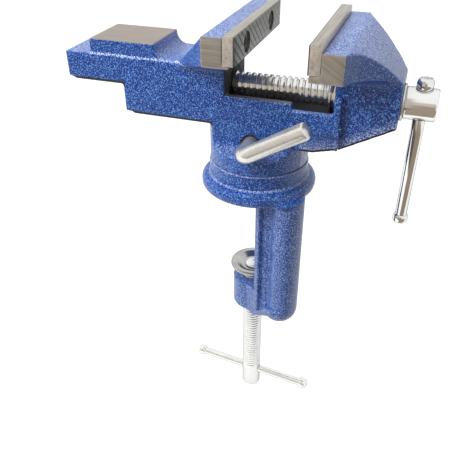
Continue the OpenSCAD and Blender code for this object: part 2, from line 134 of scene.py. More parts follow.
def extruded(bm, first, second):
    """Side faces and both ends between two outlines of vertices."""
    for i in range(len(first)):
        bm.faces.new((first[i - 1], first[i], second[i], second[i - 1]))
    bm.faces.new(first)
    bm.faces.new(second)


def soften(profile, radius, steps=5):
    """An outline of points with its inner corners rounded by up to radius."""
    points = [Vector(p) for p in profile]
    out = [points[0]]
    for before, corner, after in zip(points, points[1:], points[2:]):
        reach_in = min(radius, (before - corner).length * CORNER_SHARE)
        reach_out = min(radius, (after - corner).length * CORNER_SHARE)
        start = corner + (before - corner).normalized() * reach_in
        end = corner + (after - corner).normalized() * reach_out
        for step in range(steps + 1):
            t = step / steps
            out.append(start * (1 - t) ** 2 + corner * 2 * t * (1 - t) + end * t ** 2)
    out.append(points[-1])
    return out


def lathe(profile, name, place=(0, 0, 0), way=UP, segments=72, ring=False):
    """A closed mesh turned from (along, radius) points about the line from place in the direction way."""
    bm = bmesh.new()
    turns = [2 * math.pi * i / segments for i in range(segments)]
    rings = []
    for along, radius in profile:
        if radius < 1e-7:
            rings.append([bm.verts.new((0, 0, along))])
        else:
            rings.append([bm.verts.new((radius * math.cos(a), radius * math.sin(a), along)) for a in turns])
    pairs = list(zip(rings, rings[1:]))
    if ring:
        pairs.append((rings[-1], rings[0]))
    skin(bm, pairs, segments)
    return placed(bm, name, place, way)


def rod(low, high, radius):
    """The outline of a plain round rod, for a lathe."""
    return [(low, 0), (low, radius), (high, radius), (high, 0)]


def thread(start, end, crest, root, pitch, name, place=(0, 0, 0), way=UP, segments=64):
    """A closed rod with a right-hand thread, from start to end along way."""
    levels = [(share, root) for share in ROOT_SHARES] + [(share, crest) for share in CREST_SHARES]
    turns = math.ceil((end - start) / pitch) + 2 * SPARE_TURNS
    first = start - SPARE_TURNS * pitch
    bm = bmesh.new()
    columns = []
    for i in range(segments):
        angle = 2 * math.pi * i / segments
        column = []
        for turn in range(turns):
            for share, radius in levels:
                along = first + (turn + share + i / segments) * pitch
                column.append(bm.verts.new((radius * math.cos(angle), radius * math.sin(angle), along)))
        columns.append(column)
    for i in range(segments):
        last = i + 1 == segments
        here = columns[i]
        beside = columns[0] if last else columns[i + 1]
        shift = len(levels) if last else 0
        for k in range(len(here) - 1 - shift):
            bm.faces.new((here[k], beside[k + shift], beside[k + 1 + shift], here[k + 1]))
    for along, side in ((start, -1), (end, 1)):
        everything = bm.verts[:] + bm.edges[:] + bm.faces[:]
        bmesh.ops.bisect_plane(bm, geom=everything, plane_co=(0, 0, along), plane_no=(0, 0, side),
                               clear_outer=True)
    bmesh.ops.edgeloop_fill(bm, edges=[e for e in bm.edges if e.is_boundary])
    return placed(bm, name, place, way)


def rounded_box(low, high, radius, name, segments=3):
    """A box between two corners with rounded edges."""
    low, high = Vector(low), Vector(high)
    bm = bmesh.new()
    bmesh.ops.create_cube(bm, size=1, matrix=Matrix.LocRotScale((low + high) / 2, None, high - low))
    bmesh.ops.bevel(bm, geom=bm.edges[:], offset=radius, segments=segments, profile=0.5, affect="EDGES")
    return mesh_of(bm, name)


def rectangle(x0, x1, z0, z1):
    """An outline for a prism."""
    return [(x0, z0), (x1, z0), (x1, z1), (x0, z1)]


def prism(outline, half, name, y=0.0):
    """A side view outline of (x, z) points, thickened to half on each side of the plane at y."""
    bm = bmesh.new()
    extruded(bm, *[[bm.verts.new((x, y + side * half, z)) for x, z in outline] for side in (-1, 1)])
    return mesh_of(bm, name)


def upright(outline, low, high, turn, name):
    """A plan of (x, y) points turned about Z, raised from low to high."""
    bm = bmesh.new()
    extruded(bm, *[[bm.verts.new((x, y, z)) for x, y in outline] for z in (low, high)])
    bm.transform(Matrix.Rotation(turn, 4, "Z"))
    return mesh_of(bm, name)


def evaluated(piece):
    """The mesh of a piece after its modifiers."""
    depsgraph = bpy.context.evaluated_depsgraph_get()
    return bpy.data.meshes.new_from_object(piece.evaluated_get(depsgraph))


def linked(name, data):
    """A new object in the scene."""
    made = bpy.data.objects.new(name, data)
    bpy.context.collection.objects.link(made)
    return made


def combined(base, others, operation):
    """The mesh of base after a Boolean with each of the others, which are then gone."""
    target = linked("boolean_base", base)
    helpers = []
    for other in others:
        helper = linked("boolean_helper", other)
        boolean = target.modifiers.new("Boolean", "BOOLEAN")
        boolean.operation = operation
        boolean.solver = "EXACT"
        boolean.object = helper
        helpers.append(helper)
    result = evaluated(target)
    for helper in helpers + [target]:
        used = helper.data
        bpy.data.objects.remove(helper)
        bpy.data.meshes.remove(used)
    return smooth(result, CREASE)


def put(mesh, node, material, kind):
    """The piece that stands for a CAD node, with that node's body and the given finish."""
    mesh.name = node + "_" + kind
    mesh.materials.clear()
    mesh.materials.append(material)
    piece = linked(node + "_" + kind, mesh)
    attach(piece, body_of[node])
    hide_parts(node)
    return piece


# Material tools
NOISE_RANGE = (0.3, 0.7)


class Paint:
    """A material that is written one node at a time, in the piece's own coordinates."""

    def __init__(self, name):
        self.material = bpy.data.materials.new(name)
        self.material.use_nodes = True
        self.tree = self.material.node_tree
        self.shader = self.tree.nodes["Principled BSDF"]
        self.place = self.node("ShaderNodeTexCoord").outputs["Object"]
        self.x, self.y, self.z = self.parts(self.place)

    def node(self, kind, **settings):
        made = self.tree.nodes.new(kind)
        for key, value in settings.items():
            setattr(made, key, value)
        return made

    def feed(self, socket, value):
        """Links a socket, or sets its value."""
        if isinstance(value, bpy.types.NodeSocket):
            self.tree.links.new(value, socket)
        else:
            socket.default_value = value

    def set(self, **values):
        """Shader sockets by name, with _ for a space."""
        for key, value in values.items():
            self.feed(self.shader.inputs[key.replace("_", " ")], value)

    def parts(self, vector):
        """The three numbers of a vector."""
        made = self.node("ShaderNodeSeparateXYZ")
        self.feed(made.inputs["Vector"], vector)
        return [made.outputs[axis] for axis in "XYZ"]

    def upward(self):
        """How far the surface faces up."""
        return self.parts(self.node("ShaderNodeNewGeometry").outputs["Normal"])[2]

    def noise(self, scale, detail=2.0, rough=0.5, warp=0.0, stretch=None, lay=0.0):
        made = self.node("ShaderNodeTexNoise")
        self.feed(made.inputs["Vector"], self.stretched(stretch, lay) if stretch else self.place)
        made.inputs["Scale"].default_value = scale
        made.inputs["Detail"].default_value = detail
        made.inputs["Roughness"].default_value = rough
        made.inputs["Distortion"].default_value = warp
        return made.outputs["Fac"]

    def stretched(self, stretch, lay):
        """The place turned by lay about Y, then stretched."""
        turned = self.node("ShaderNodeMapping")
        self.feed(turned.inputs["Vector"], self.place)
        turned.inputs["Rotation"].default_value = (0, lay, 0)
        made = self.node("ShaderNodeMapping")
        self.feed(made.inputs["Vector"], turned.outputs["Vector"])
        made.inputs["Scale"].default_value = stretch
        return made.outputs["Vector"]

    def ramp(self, factor, stops):
        """Colours along a factor, as (place, colour) pairs."""
        made = self.node("ShaderNodeValToRGB")
        self.feed(made.inputs["Fac"], factor)
        elements = made.color_ramp.elements
        while len(elements) < len(stops):
            elements.new(0.5)
        for element, (where, colour) in zip(elements, stops):
            element.position = where
            element.color = (*colour, 1)
        return made.outputs["Color"]

    def remap(self, factor, low, high, to_low, to_high):
        made = self.node("ShaderNodeMapRange")
        for key, value in (("Value", factor), ("From Min", low), ("From Max", high), ("To Min", to_low),
                           ("To Max", to_high)):
            self.feed(made.inputs[key], value)
        return made.outputs["Result"]

    def mixed(self, kind, factor, a, b):
        made = self.node("ShaderNodeMix", data_type=kind)
        self.feed(made.inputs["Factor"], factor)
        self.feed(made.inputs["A"], a)
        self.feed(made.inputs["B"], b)
        return made.outputs["Result"]

    def mix(self, factor, a, b):
        """Two colours, mixed by a factor."""
        return self.mixed("RGBA", factor, a, b)

    def blend(self, factor, a, b):
        """Two numbers, mixed by a factor."""
        return self.mixed("FLOAT", factor, a, b)

    def bump(self, height, distance, strength=1.0):
        made = self.node("ShaderNodeBump")
        made.inputs["Distance"].default_value = distance
        made.inputs["Strength"].default_value = strength
        self.feed(made.inputs["Height"], height)
        self.feed(self.shader.inputs["Normal"], made.outputs["Normal"])

    def math(self, operation, *values):
        made = self.node("ShaderNodeMath", operation=operation)
        for socket, value in zip(made.inputs, values):
            self.feed(socket, value)
        return made.outputs["Value"]

    def plus(self, a, b):
        return self.math("ADD", a, b)

    def minus(self, a, b):
        return self.math("SUBTRACT", a, b)

    def times(self, a, b):
        return self.math("MULTIPLY", a, b)

    def size(self, value):
        return self.math("ABSOLUTE", value)

    def below(self, value, limit):
        """1 where value is less than limit."""
        return self.math("LESS_THAN", value, limit)

    def near(self, value, place, reach):
        """1 where value lies no further than reach from place."""
        return self.math("COMPARE", value, place, reach)

    def within(self, value, low, high):
        """1 where value lies between low and high."""
        return self.near(value, (low + high) / 2, (high - low) / 2)

    def both(self, a, b):
        """Where two masks hold."""
        return self.times(a, b)

    def either(self, mask, *others):
        """Where one of some masks holds."""
        for other in others:
            mask = self.math("MAXIMUM", mask, other)
        return mask


# Tones, each a ramp of (place, colour)
PAINT = ((0.40, (0.001, 0.014, 0.15)), (0.51, (0.002, 0.060, 0.36)), (0.57, (0.010, 0.120, 0.51)),
         (0.65, (0.18, 0.39, 0.83)))
# Painted sheen: pale flecks mixed in where light from above or a reflection makes the paint look pale
PAINTED_SHEEN = ((0.47, (0.05, 0.13, 0.47)), (0.57, (0.72, 0.78, 0.92)))
IRON = ((0.30, (0.30, 0.265, 0.22)), (0.55, (0.43, 0.385, 0.33)), (0.75, (0.54, 0.49, 0.43)))
# A darker copy of the iron for the anvil's face, as painted shade, since the light from above makes that face
# brighter than the ground ends
ANVIL_IRON_SHADED = ((0.30, (0.235, 0.20, 0.165)), (0.55, (0.32, 0.275, 0.232)), (0.75, (0.39, 0.345, 0.30)))
# Painted shade: near black tones for the channel, the neck's front, the lever's hole, the lips and undersides
# of the body, and the moving jaw's slide, where the light does not reach
PAINTED_SHADE = ((0.35, (0.008, 0.009, 0.012)), (0.70, (0.030, 0.031, 0.036)))
WORN = ((0.30, (0.045, 0.045, 0.05)), (0.65, (0.13, 0.13, 0.145)))
GROUND = ((0.30, (0.46, 0.40, 0.34)), (0.5, (0.63, 0.56, 0.49)), (0.72, (0.75, 0.68, 0.61)))
# A darker copy of the ground steel for the plates' tops, as painted shade
PLATE_TOP_SHADED = ((0.30, (0.26, 0.24, 0.205)), (0.5, (0.37, 0.345, 0.30)), (0.72, (0.47, 0.44, 0.39)))
GRIP = ((0.30, (0.085, 0.087, 0.08)), (0.5, (0.125, 0.128, 0.118)), (0.72, (0.18, 0.183, 0.17)))
CHROME = ((0.25, (0.72, 0.72, 0.715)), (0.5, (0.80, 0.80, 0.79)), (0.75, (0.86, 0.86, 0.85)))
BRIGHT = ((0.25, (0.80, 0.80, 0.78)), (0.5, (0.88, 0.88, 0.86)), (0.75, (0.94, 0.94, 0.92)))
DULL = ((0.25, (0.38, 0.385, 0.375)), (0.5, (0.50, 0.505, 0.495)), (0.75, (0.60, 0.605, 0.595)))
ZINC = ((0.25, (0.55, 0.55, 0.53)), (0.5, (0.70, 0.70, 0.68)), (0.75, (0.80, 0.80, 0.78)))
NICKEL = ((0.25, (0.70, 0.69, 0.65)), (0.5, (0.80, 0.79, 0.75)), (0.75, (0.87, 0.86, 0.82)))
GUN = ((0.25, (0.10, 0.097, 0.09)), (0.5, (0.19, 0.185, 0.17)), (0.75, (0.34, 0.33, 0.31)))
BLACK = ((0.25, (0.035, 0.033, 0.030)), (0.5, (0.07, 0.067, 0.06)), (0.75, (0.14, 0.135, 0.125)))


# Finishes
WORM_SCALE = 1800
PATCH_SCALE = 70
PATCH_DEPTH = 0.012
PAINT_ROUGH = (0.36, 0.22)
PAINT_IOR = 1.6
PAINT_GLOSS = 0.5
PAINT_BUMP = 0.3 * MM
PAINT_BUMP_STRENGTH = 0.8
# Strength of the painted sheen on faces that look up, and the range of facing up over which it grows
TOP_SHEEN = 0.3
TOP_SHEEN_SLOPE = (0.35, 0.8)
GRIND_SCALE = 140
GRIND_STRETCH = (0.25, 1, 6)
GRIND_HEIGHT = 0.12
GROUND_ROUGH = (0.34, 0.5)
SHADE_ROUGH = (0.65, 0.85)
SAW_LAY = math.radians(-32)
EDGE_TINT = (0.35, 0.35, 0.38, 1)
STREAK_SCALE = 130
STREAK_STRETCH = (5, 0.3, 5)
SCRATCH_SCALE = 420
SCRATCH_STRETCH = (1, 2.5, 0.12)
PLATE_ROUGH = (0.3, 0.45)
PLATE_BUMP = 0.02 * MM
GRIP_DEPTH = 0.65 * MM
END_DEPTH = 0.3 * MM


def hammertone(name, layers=(), thin=None, lay=0.0, top=0.0):
    """Blue hammertone paint, with painted sheen flecks on faces that look up by top and painted highlights
    where the mask thin holds, under layers of (place, tones, metal, rough).
    """
    paint = Paint(name)
    worms = paint.noise(WORM_SCALE, detail=0.5, warp=0.6)
    patches = paint.noise(PATCH_SCALE, detail=3)
    mottle = paint.plus(worms, paint.remap(patches, *NOISE_RANGE, -PATCH_DEPTH, PATCH_DEPTH))
    grind = paint.noise(GRIND_SCALE, detail=5, rough=0.65, stretch=GRIND_STRETCH, lay=lay)
    painted_sheen = paint.ramp(mottle, PAINTED_SHEEN)
    colour = paint.ramp(mottle, PAINT)
    # Painted sheen: pale flecks on faces that look up, as the light from above shows them
    if top:
        colour = paint.mix(paint.remap(paint.upward(), *TOP_SHEEN_SLOPE, 0.0, top), colour, painted_sheen)
    # Painted highlights by the mask thin, in the same pale flecks
    if thin:
        colour = paint.mix(thin(paint), colour, painted_sheen)
    rough = paint.remap(worms, *NOISE_RANGE, *PAINT_ROUGH)
    metal = 0.0
    height = worms
    for where, tones, layer_metal, layer_rough in layers:
        mask = where(paint)
        colour = paint.mix(mask, colour, paint.ramp(grind, tones))
        rough = paint.blend(mask, rough, paint.remap(grind, *NOISE_RANGE, *layer_rough))
        metal = paint.blend(mask, metal, layer_metal)
        height = paint.blend(mask, height, paint.remap(grind, 0, 1, 0, GRIND_HEIGHT))
    paint.set(Base_Color=colour, Metallic=metal, Roughness=rough, IOR=PAINT_IOR,
              Specular_IOR_Level=PAINT_GLOSS)
    paint.bump(height, PAINT_BUMP, PAINT_BUMP_STRENGTH)
    return paint.material


def steel(name, tones, scale, rough, bump=0.02 * MM, metal=1.0):
    """Plated or blackened metal, in three tones with fine streaks."""
    paint = Paint(name)
    streaks = paint.noise(scale, detail=5, rough=0.6)
    paint.set(Base_Color=paint.ramp(streaks, tones), Metallic=metal, Specular_Tint=EDGE_TINT,
              Roughness=paint.remap(streaks, *NOISE_RANGE, *rough))
    paint.bump(streaks, bump)
    return paint.material


def plate_steel(name, face, top):
    """Ground steel with streaks along the jaw, a darker tone on its top as painted shade against the light
    from above, and a dark grip face with upright scratches.
    """
    paint = Paint(name)
    streaks = paint.noise(STREAK_SCALE, detail=5, rough=0.6, stretch=STREAK_STRETCH)
    scratches = paint.noise(SCRATCH_SCALE, detail=4, rough=0.6, stretch=SCRATCH_STRETCH)
    grip = paint.near(paint.x, face, GRIP_DEPTH)
    shaded_top = paint.near(paint.z, top, END_DEPTH)
    # The top takes the darker tone as painted shade
    colour = paint.mix(shaded_top, paint.ramp(streaks, GROUND), paint.ramp(streaks, PLATE_TOP_SHADED))
    paint.set(Base_Color=paint.mix(grip, colour, paint.ramp(scratches, GRIP)), Metallic=0.5,
              Roughness=paint.remap(streaks, *NOISE_RANGE, *PLATE_ROUGH))
    paint.bump(paint.blend(grip, streaks, scratches), PLATE_BUMP)
    return paint.material


# Places on the castings
TAIL_STEP = -66.3 * MM
TAIL_LOW = 53 * MM
BODY_LOW = 38 * MM
BODY_TOP = 66 * MM
ANVIL_HALF = 20 * MM
NECK_X = -13.3 * MM
WALL_TOP = 52.5 * MM
WALL_X = (-13 * MM, 19.5 * MM)
CHANNEL_HALF = 12.5 * MM
CHANNEL_Z = (30 * MM, 57 * MM)
SLIDE_FRONT = 38.4 * MM
SLIDE_LOW = 42 * MM
KEEL_FRONT = 42.5 * MM
KEEL_LOW = 30.5 * MM
LIP_H = 1.3 * MM
LIP_SEAM = 0.5 * MM
LIP_END = -20 * MM
LOCK_HOLE = 5.4 * MM
LOCK_FRONT = -15 * MM
RING_FOOT = 8.6 * MM
SEAM_Z = 16.15 * MM
# Undersides as (height, where the rise starts, slope of the rise, where the underside starts)
TRAY_SOLE = (28.4 * MM, 30 * MM, 0.25, 24 * MM)
KEEL_SOLE = (KEEL_LOW, KEEL_FRONT, 0.546, SLIDE_FRONT + MM)
# Height of the band of painted shade along the undersides
UNDER_EDGE = 1.4 * MM
# Painted highlights: the top of the pale band above the lower edges that stands for the floor's reflection,
# its strength, and the strengths of the pale lines at the ring's foot and the seam and of the painted light
# on the column
SHEEN_BAND = 7 * MM
EDGE_SHEEN = 0.85
RING_HIGHLIGHT = 0.5
SEAM_HIGHLIGHT = 0.6
COLUMN_LIGHT = 0.16
LINE_HALF = 0.5 * MM
EDGE_Y = 14.8 * MM
EDGE_X = (-84 * MM, -17 * MM)
tail_end, wall_end = ends("vise_body", 0)
jaw_half = span("fixed_jaw_plate").y / 2
lock_height = joint_of["lock_turn"]["pos_m"][2]
anvil_top = next(m["pos_m"] for m in record["mounts"] if m["name"] == "anvil_face")


def over_sole(paint, low, bend, slope, start):
    """Height over an underside, and a great height before its start."""
    rise = paint.math("MAXIMUM", paint.times(paint.minus(paint.x, bend), slope), 0.0)
    height = paint.minus(paint.minus(paint.z, low), rise)
    return paint.plus(height, paint.below(paint.x, start))


def highlight_line(paint, height, share):
    """A painted highlight line all round at a height."""
    return paint.times(paint.near(paint.z, height, LINE_HALF), share)


def lip_shade(paint, low, x0, x1):
    """Painted shade on a lip under the body, from x0 to x1."""
    height = paint.within(paint.z, low - LIP_H - MM, low + LIP_SEAM)
    return paint.both(height, paint.within(paint.x, x0 - MM, x1))


def bare_ends(paint):
    """The ground ends of a jaw block."""
    return paint.math("GREATER_THAN", paint.size(paint.y), jaw_half - END_DEPTH)


def anvil_face(paint):
    """The ground face of the anvil."""
    level = paint.near(paint.z, anvil_top[2], END_DEPTH)
    return paint.both(level, paint.near(paint.x, anvil_top[0], ANVIL_HALF))


def worn_body(paint):
    """The tops of the channel's walls."""
    return paint.both(paint.near(paint.z, WALL_TOP, END_DEPTH), paint.within(paint.x, *WALL_X))


def body_shade(paint):
    """Painted shade in the channel, on the neck's front, along the tray's underside, in the lever's hole and
    on the lips.
    """
    length = paint.within(paint.x, NECK_X - END_DEPTH, wall_end)
    inside = paint.both(paint.below(paint.size(paint.y), CHANNEL_HALF), paint.within(paint.z, *CHANNEL_Z))
    channel = paint.both(length, inside)
    neck = paint.both(paint.near(paint.x, NECK_X, END_DEPTH), paint.within(paint.z, WALL_TOP, BODY_TOP))
    sole = paint.within(over_sole(paint, *TRAY_SOLE), -MM, UNDER_EDGE)
    rise = paint.minus(paint.z, lock_height)
    reach = paint.math("SQRT", paint.plus(paint.times(paint.x, paint.x), paint.times(rise, rise)))
    hole = paint.both(paint.below(reach, LOCK_HOLE), paint.below(paint.y, LOCK_FRONT))
    tail_lip = lip_shade(paint, TAIL_LOW, tail_end, TAIL_STEP)
    return paint.either(channel, neck, sole, hole, tail_lip, lip_shade(paint, BODY_LOW, TAIL_STEP, LIP_END))


def jaw_shade(paint):
    """Painted shade on the slide's front, the guide tongue and along the keel's underside."""
    front = paint.both(paint.below(paint.x, SLIDE_FRONT + END_DEPTH), paint.within(paint.z, *CHANNEL_Z))
    return paint.either(front, paint.within(over_sole(paint, *KEEL_SOLE), -MM, UNDER_EDGE))


def body_highlights(paint):
    """Painted highlights: a line on the edge of the body's top beside the anvil and the fixed jaw, a line at
    the seam, and a pale band, the floor's reflection, above the tray's lower edge.
    """
    edge = paint.both(paint.near(paint.z, BODY_TOP, LINE_HALF),
                      paint.math("GREATER_THAN", paint.size(paint.y), EDGE_Y))
    edge = paint.both(edge, paint.within(paint.x, *EDGE_X))
    tray = paint.remap(over_sole(paint, *TRAY_SOLE), UNDER_EDGE, SHEEN_BAND, EDGE_SHEEN, 0.0)
    return paint.either(edge, highlight_line(paint, SEAM_Z, SEAM_HIGHLIGHT), tray)


def jaw_highlight(paint):
    """A painted highlight, the floor's reflection, in a band above the lower edge of the keel."""
    return paint.remap(over_sole(paint, *KEEL_SOLE), UNDER_EDGE, SHEEN_BAND, EDGE_SHEEN, 0.0)


def clamp_highlights(paint):
    """Painted highlight lines round the ring's foot and the seam and, more faintly, painted light on the
    column and the arm.
    """
    column = paint.times(paint.below(paint.z, 0.0), COLUMN_LIGHT)
    return paint.either(highlight_line(paint, RING_FOOT, RING_HIGHLIGHT), highlight_line(paint, SEAM_Z, SEAM_HIGHLIGHT), column)


ground_ends = (bare_ends, IRON, 0.5, GROUND_ROUGH)
# The anvil's face takes the darker iron, as painted shade
ground_anvil = (anvil_face, ANVIL_IRON_SHADED, 0.5, GROUND_ROUGH)
worn_walls = (worn_body, WORN, 0.3, GROUND_ROUGH)
# Layers of painted shade, near black where the castings lie in shade
body_shade_layer = (body_shade, PAINTED_SHADE, 0.0, SHADE_ROUGH)
jaw_shade_layer = (jaw_shade, PAINTED_SHADE, 0.0, SHADE_ROUGH)
body_layers = (ground_ends, ground_anvil, worn_walls, body_shade_layer)
body_paint = hammertone("blue_body", body_layers, body_highlights, top=TOP_SHEEN)
jaw_paint = hammertone("blue_jaw", (ground_ends, jaw_shade_layer), jaw_highlight, SAW_LAY, TOP_SHEEN)
clamp_paint = hammertone("blue_clamp", (), clamp_highlights)
chrome = steel("chrome", CHROME, scale=60, rough=(0.06, 0.12), bump=0.004 * MM)
screw_chrome = steel("screw_chrome", BRIGHT, scale=90, rough=(0.10, 0.18), bump=0.01 * MM, metal=0.92)
zinc = steel("zinc", ZINC, scale=120, rough=(0.2, 0.34))
bright_zinc = steel("bright_zinc", BRIGHT, scale=120, rough=(0.16, 0.28), bump=0.008 * MM, metal=0.75)
pad_zinc = steel("pad_zinc", DULL, scale=120, rough=(0.16, 0.28))
nickel = steel("nickel", NICKEL, scale=160, rough=(0.22, 0.34), bump=0.006 * MM, metal=0.72)
gun_steel = steel("gun_steel", GUN, scale=300, rough=(0.3, 0.45))
black_oxide = steel("black_oxide", BLACK, scale=400, rough=(0.35, 0.5))


# Casting tools
VOXEL = 0.6 * MM
FLAT = 0.32 * MM
KEPT_FACES = 0.3
CAST_CREASE = math.radians(60)
HEAD_ROUNDS = 5
CLAMP_ROUNDS = 4
SOFT_ROUNDS = 45


def cast(node, material, rounds, machined, soft=None, added=(), cut=()):
    """A cast copy of a CAD node with solids added and cut: round edges but at machined, more so at soft."""
    solid = combined(nodes[node].data.copy(), cut, "DIFFERENCE") if cut else nodes[node].data
    copy = linked(node + "_copy", joined([solid, *added]))
    remesh = copy.modifiers.new("Remesh", "REMESH")
    remesh.mode = "VOXEL"
    remesh.voxel_size = VOXEL
    copy.data = relaxed(evaluated(copy), rounds, machined)
    if soft:
        relaxed(copy.data, SOFT_ROUNDS, lambda p: ~soft(p), (0, 1, 1))
    copy.modifiers.clear()
    thin = copy.modifiers.new("Decimate", "DECIMATE")
    thin.ratio = KEPT_FACES
    mesh = smooth(evaluated(copy), CAST_CREASE)
    bpy.data.objects.remove(copy)
    return put(mesh, node, material, "casting")


def joined(meshes):
    """One mesh with all the solids of some meshes."""
    bm = bmesh.new()
    for mesh in meshes:
        bm.from_mesh(mesh)
    made = bpy.data.meshes.new("joined")
    bm.to_mesh(made)
    bm.free()
    return made


def relaxed(mesh, rounds, held, axes=(1, 1, 1)):
    """The mesh after some rounds of evening out along the axes set to 1, with the held vertices left."""
    count = len(mesh.vertices)
    places = np.empty(count * 3)
    mesh.vertices.foreach_get("co", places)
    places = places.reshape(-1, 3)
    pairs = np.empty(len(mesh.edges) * 2, dtype=int)
    mesh.edges.foreach_get("vertices", pairs)
    a, b = pairs.reshape(-1, 2).T
    number = np.bincount(pairs, minlength=count)[:, None]
    share = np.where(held(places), 0.0, 0.5)[:, None] * np.array(axes)
    for _ in range(rounds):
        total = [np.bincount(a, places[b, k], count) + np.bincount(b, places[a, k], count) for k in range(3)]
        places += share * (np.array(total).T / number - places)
    mesh.vertices.foreach_set("co", places.ravel())
    return mesh


def block_ends(p):
    """The ends of a jaw block."""
    return np.abs(p[:, 1]) > jaw_half - FLAT


def swivel_seam(p):
    """Round the seam between the boss and the flange's ring."""
    return np.abs(p[:, 2] - SEAM_Z) < VOXEL


# Body casting
SLOT_HALF = 12.9 * MM
SLOT_TOP = 46 * MM
HOLLOW_HALF = 15 * MM
ANVIL_FOOT = (-49.6 * MM, 6 * MM, math.pi / 2)
SLOPE_FOOT = (-36.3 * MM, 12 * MM, math.radians(43.8))
LIP_Y = 13.7 * MM
LIP_HALF = 1.6 * MM
LIP_SETBACK = 3 * MM
WALL_Y = 14.15 * MM
WALL_HALF = 1.85 * MM
WALL_CORNER = 6 * MM
WALL_LOW = 31.6 * MM
WALL_REACH = 0.35 * MM
KEEL_TOP = 41 * MM


def body_faces(p):
    """The body's machined faces, its slot and its walls' ends."""
    anvil = (np.abs(p[:, 2] - anvil_top[2]) < FLAT) & (np.abs(p[:, 0] - anvil_top[0]) < ANVIL_HALF)
    slot = (p[:, 0] > NECK_X) & (np.abs(p[:, 1]) < SLOT_HALF) & (p[:, 2] < SLOT_TOP)
    return anvil | block_ends(p) | swivel_seam(p) | slot | (p[:, 0] > wall_end - FLAT)


def hollow_corner(x, radius, rise, name):
    """A concave fillet on the body's top, against a face that rises at an angle from x, towards +X or -X."""
    way = 1 if rise < math.pi / 2 else -1
    swing = rise if way > 0 else math.pi - rise
    start = x - way * radius * math.tan(swing / 2)
    steps = 8
    turns = [swing * i / steps for i in range(steps + 1)]
    arc = [(start + way * radius * math.sin(t), BODY_TOP + radius * (1 - math.cos(t))) for t in turns]
    root = BODY_TOP - MM
    back = arc[-1][0] + way * MM
    return prism(arc + [(back, arc[-1][1]), (back, root), (start, root)], HOLLOW_HALF, name)


def lips(x0, x1, low, name):
    """Narrow lips under both sides of the body."""
    outline = rectangle(x0, x1, low - LIP_H, low + MM)
    return [prism(outline, LIP_HALF, name, side * LIP_Y) for side in (-1, 1)]


extras = [hollow_corner(*ANVIL_FOOT, "anvil_foot"), hollow_corner(*SLOPE_FOOT, "slope_foot")]
extras += lips(tail_end + LIP_SETBACK, TAIL_STEP, TAIL_LOW, "tail_lip")
extras += lips(TAIL_STEP + LIP_SETBACK, LIP_END, BODY_LOW, "belly_lip")
wall_corner = rectangle(wall_end - WALL_CORNER, wall_end, BODY_LOW, BODY_LOW + WALL_CORNER)
wall_tip = rectangle(wall_end - MM, wall_end + WALL_REACH, WALL_LOW, KEEL_TOP)
for wall_y in (-WALL_Y, WALL_Y):
    extras.append(prism(wall_corner, WALL_HALF, "wall_corner", wall_y))
    extras.append(prism(wall_tip, WALL_HALF, "wall_tip", wall_y))
cast("vise_body", body_paint, HEAD_ROUNDS, body_faces, added=extras)


# Moving jaw casting
KEEL_HALF = 12 * MM
KEEL_REACH = 0.6 * MM
KEEL_TIP = 0.3 * MM
KEEL_ROOT = 0.8 * MM
EASE = 0.7 * MM
EASE_GAP = 0.1 * MM
SCOOP_X = 46 * MM
SCOOP_Z = 64 * MM
SCOOP_REACH = 4 * MM
SCOOP_HALF = 20 * MM


def jaw_faces(p):
    """The jaw's machined faces and the keel's front."""
    return block_ends(p) | (np.abs(p[:, 0] - KEEL_FRONT + KEEL_REACH) < FLAT)


def scoop(p):
    """The hollow under the moving jaw's wings."""
    height = np.abs(p[:, 2] - SCOOP_Z) < SCOOP_REACH
    return (p[:, 0] > SCOOP_X) & height & (np.abs(p[:, 1]) < SCOOP_HALF)


keel_tip = KEEL_FRONT - KEEL_REACH
keel_root = KEEL_FRONT + MM
keel_outline = [(keel_tip, KEEL_LOW + KEEL_TIP), (keel_root, KEEL_LOW + KEEL_ROOT), (keel_root, KEEL_TOP),
                (keel_tip, KEEL_TOP)]
keel_front = prism(keel_outline, KEEL_HALF, "keel_front")
eased = rectangle(SLIDE_FRONT - EASE, KEEL_FRONT - EASE_GAP, SLIDE_LOW - EASE, SLIDE_LOW + EASE)
slide_edges = [prism(eased, EASE, "slide_edge", side * KEEL_HALF) for side in (-1, 1)]
cast("moving_jaw", jaw_paint, HEAD_ROUNDS, jaw_faces, scoop, [keel_front], slide_edges)


# Clamp casting
CLAMP_TURN = math.radians(-40)
PLATE_BACK = 19 * MM
VALLEY_Y = 6.3 * MM
FLOOR_Y = 11 * MM
COLUMN_X = 25 * MM
COLUMN_R = 10 * MM
BACK_R = 8 * MM
COLUMN_LOW = -67 * MM
OUTSIDE = 40 * MM
FRONT_MEET = math.radians(-10)
BACK_MEET = math.radians(55)
# Outlines of (height, radius) in millimetres
RIM = ((0.8, 22), (0.8, 29.4), (2.2, 30.4), (4.8, 30.4), (6.7, 29.5), (8.0, 26.6), (8.0, 22))
CROWN = ((15.0, 23), (15.0, 25.9), (16.22, 25.9), (16.22, 23))


def table_face(p):
    """The flange's underside and the seam."""
    return (np.abs(p[:, 2]) < FLAT) | swivel_seam(p)


def column_groove(side, meet, name):
    """The groove between the column's plate and its round back, which keeps its radius at the angle meet."""
    lean = COLUMN_R - BACK_R
    x = COLUMN_X + lean * math.cos(meet)
    y = lean * math.sin(meet)
    start = math.pi - math.asin((VALLEY_Y - y) / BACK_R)
    steps = 16
    outline = [(PLATE_BACK, OUTSIDE), (PLATE_BACK, FLOOR_Y)]
    for i in range(steps + 1):
        a = start + (meet - start) * i / steps
        outline.append((x + BACK_R * math.cos(a), y + BACK_R * math.sin(a)))
    outline.append((x + OUTSIDE * math.cos(meet), y + OUTSIDE * math.sin(meet)))
    outline.append((OUTSIDE, OUTSIDE))
    return upright([(px, side * py) for px, py in outline], COLUMN_LOW, 0, CLAMP_TURN, name)


